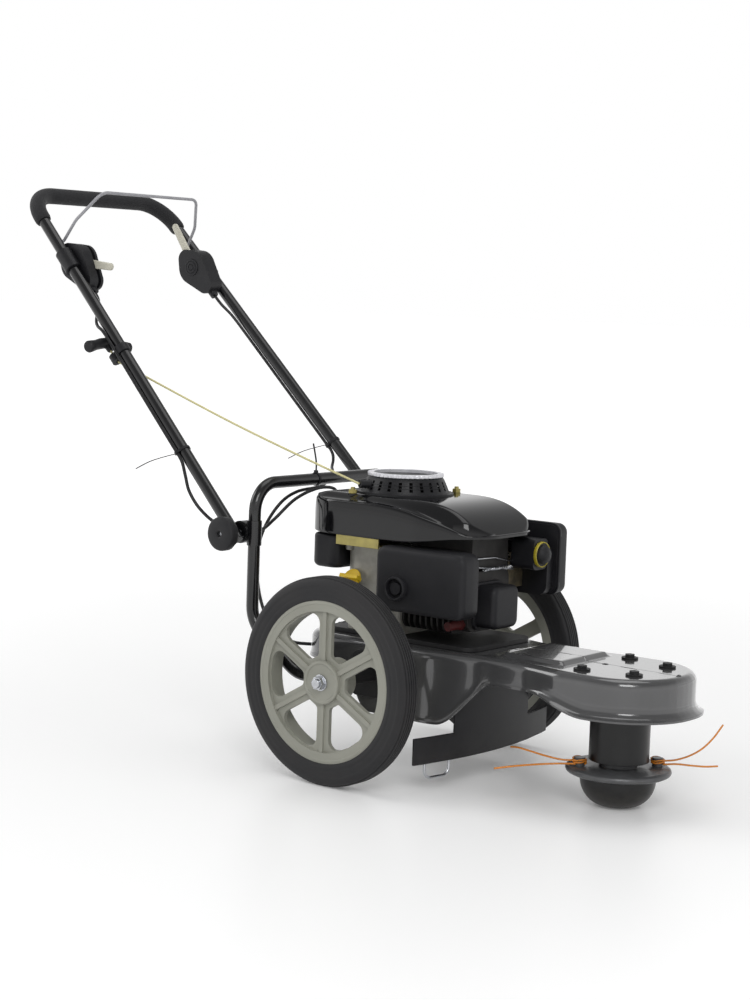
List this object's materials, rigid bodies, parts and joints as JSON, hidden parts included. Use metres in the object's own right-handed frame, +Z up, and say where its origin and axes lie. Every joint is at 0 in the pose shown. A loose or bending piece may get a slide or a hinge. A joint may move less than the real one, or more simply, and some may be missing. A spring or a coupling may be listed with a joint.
{
  "type": "wheeled string trimmer",
  "caption": "Walk-behind string trimmer: petrol engine on a stamped deck, tall spoked wheels, line disc above a glide dome, and a folding tube handle with bail and levers.",
  "frame": {"origin": "on the ground below the middle of the whole machine, on its middle plane", "axes": "+X forward to the trimmer head, +Y to the machine's left, +Z up"},
  "size_m": [1.4146, 0.566, 1.0166],
  "materials": {
    "tyre": "matte",
    "rim": "satin",
    "deck_paint": "gloss",
    "black_paint": "gloss",
    "steel": "satin",
    "zinc": "satin",
    "cast": "matte",
    "iron": "matte",
    "muffler_steel": "matte",
    "black_plastic": "matte",
    "gloss_black": "gloss",
    "grey_plastic": "satin",
    "disc": "satin",
    "belt": "matte",
    "flap": "matte",
    "boot": "satin",
    "cable": "satin",
    "foam": "matte",
    "rope": "matte",
    "line": "satin",
    "grey_paint": "satin",
    "ivory": "satin",
    "yellow": "gloss",
    "soft_black": "satin"
  },
  "bodies": {
    "chassis": {"deck_shell": "deck_paint", "engine_plate": "black_paint", "axle_rod": "steel", "axle_nuts": "steel", "axle_brackets": "black_paint", "debris_guard": "flap", "skid_wire": "steel", "lower_handle": "black_paint", "pivot_brackets": "black_plastic", "pivot_bolts": "steel", "spindle_housing": "black_paint", "spindle_bearings": "steel", "spindle_bolts": "black_paint", "drive_belt": "belt", "crankcase": "cast", "cylinder_block": "cast", "rocker_cover": "cast", "spark_plug": "boot", "cowl": "gloss_black", "cowl_studs": "zinc", "starter_housing": "black_plastic", "starter_crown": "grey_plastic", "fuel_tank": "black_plastic", "muffler": "muffler_steel", "muffler_guard": "black_paint", "carburettor": "zinc", "air_cleaner_base": "black_plastic", "air_cleaner_cover": "gloss_black", "brake_bracket": "zinc", "throttle_cable": "cable", "clutch_cable": "cable", "starter_rope": "rope"},
    "right_wheel": {"right_tyre": "tyre", "right_rim": "rim"},
    "left_wheel": {"left_tyre": "tyre", "left_rim": "rim"},
    "crank": {"crankshaft": "steel", "flywheel": "cast", "engine_pulley": "iron"},
    "recoil": {"recoil_pulley": "black_plastic"},
    "trimmer_head": {"spindle_shaft": "steel", "spindle_pulley": "iron", "line_disc": "disc", "trimmer_lines": "line"},
    "dome": {"glide_dome": "gloss_black"},
    "idler": {"idler_arm": "steel"},
    "handle": {"upper_handle": "black_paint", "foam_grip": "foam", "control_housings": "black_plastic", "handle_clips": "black_plastic", "handle_cables": "cable"},
    "bail_bar": {"bail": "grey_paint"},
    "throttle": {"throttle_lever": "ivory"},
    "clutch": {"clutch_lever": "ivory"},
    "starter": {"starter_grip": "black_plastic"},
    "right_pivot_knob": {"right_knob": "black_plastic"},
    "left_pivot_knob": {"left_knob": "black_plastic"},
    "fuel_filler_cap": {"fuel_cap": "black_plastic"},
    "oil_filler_plug": {"oil_plug": "yellow"},
    "primer": {"primer_bulb": "soft_black"}
  },
  "joints": [
    {"name": "right_wheel_spin", "type": "hinge", "parent": "chassis", "child": "right_wheel", "pos_m": [0.15115, -0.246, 0.178], "axis": [0, 1, 0], "continuous": true},
    {"name": "left_wheel_spin", "type": "hinge", "parent": "chassis", "child": "left_wheel", "pos_m": [0.15115, 0.246, 0.178], "axis": [0, 1, 0], "continuous": true},
    {"name": "crankshaft_spin", "type": "hinge", "parent": "chassis", "child": "crank", "pos_m": [0.11215, 0, 0.3], "axis": [0, 0, 1], "continuous": true},
    {"name": "spindle_spin", "type": "hinge", "parent": "chassis", "child": "trimmer_head", "pos_m": [0.57515, 0, 0.13], "axis": [0, 0, 1], "continuous": true},
    {"name": "dome_spin", "type": "hinge", "parent": "trimmer_head", "child": "dome", "pos_m": [0.57515, 0, 0.03], "axis": [0, 0, 1], "continuous": true},
    {"name": "recoil_spin", "type": "hinge", "parent": "chassis", "child": "recoil", "pos_m": [0.11215, 0, 0.495], "axis": [0, 0, 1], "range_deg": [0, 660]},
    {"name": "idler_swing", "type": "hinge", "parent": "chassis", "child": "idler", "pos_m": [0.27115, 0.086, 0.215], "axis": [0, 0, -1], "range_deg": [0, 4.7]},
    {"name": "handle_fold", "type": "hinge", "parent": "chassis", "child": "handle", "pos_m": [-0.09485, 0, 0.404], "axis": [0, 1, 0], "range_deg": [0, 125], "deforming": ["throttle_cable", "clutch_cable", "starter_rope"]},
    {"name": "bail_squeeze", "type": "hinge", "parent": "handle", "child": "bail_bar", "pos_m": [-0.60114, 0, 0.91029], "axis": [0, -1, 0], "range_deg": [0, 70], "stiffness_Nm_per_rad": 0.6, "springref_deg": -11.46},
    {"name": "throttle_swing", "type": "hinge", "parent": "handle", "child": "throttle", "pos_m": [-0.56437, -0.19053, 0.87352], "axis": [-0.0335, -0.9989, 0.0335], "range_deg": [0, 60]},
    {"name": "clutch_swing", "type": "hinge", "parent": "handle", "child": "clutch", "pos_m": [-0.56437, 0.19053, 0.87352], "axis": [0.0335, -0.9989, -0.0335], "range_deg": [0, 90]},
    {"name": "starter_pull", "type": "slide", "parent": "handle", "child": "starter", "axis": [-1, 0, 0], "range_m": [0, 0.45], "stiffness_N_per_m": 20, "springref_m": -0.05},
    {"name": "right_knob_turn", "type": "hinge", "parent": "chassis", "child": "right_pivot_knob", "pos_m": [-0.09485, -0.247, 0.404], "axis": [0, -1, 0], "range_deg": [0, 360]},
    {"name": "left_knob_turn", "type": "hinge", "parent": "chassis", "child": "left_pivot_knob", "pos_m": [-0.09485, 0.247, 0.404], "axis": [0, 1, 0], "range_deg": [0, 360]},
    {"name": "fuel_cap_turn", "type": "hinge", "parent": "chassis", "child": "fuel_filler_cap", "pos_m": [0.01915, 0.114, 0.366], "axis": [0, 0.9063, 0.4226], "range_deg": [0, 180]},
    {"name": "oil_plug_turn", "type": "hinge", "parent": "chassis", "child": "oil_filler_plug", "pos_m": [0.07915, -0.09, 0.324], "axis": [0, -0.866, 0.5], "range_deg": [0, 180]},
    {"name": "primer_press", "type": "slide", "parent": "chassis", "child": "primer", "axis": [-1, 0, 0], "range_m": [0, 0.006], "stiffness_N_per_m": 400}
  ],
  "couplings": [
    {"joint": "spindle_spin", "follows": "crankshaft_spin", "ratio": 0.71044},
    {"joint": "recoil_spin", "follows": "starter_pull", "rad_per_m": 25},
    {"joint": "idler_swing", "follows": "clutch_swing", "ratio": 0.0522}
  ]
}
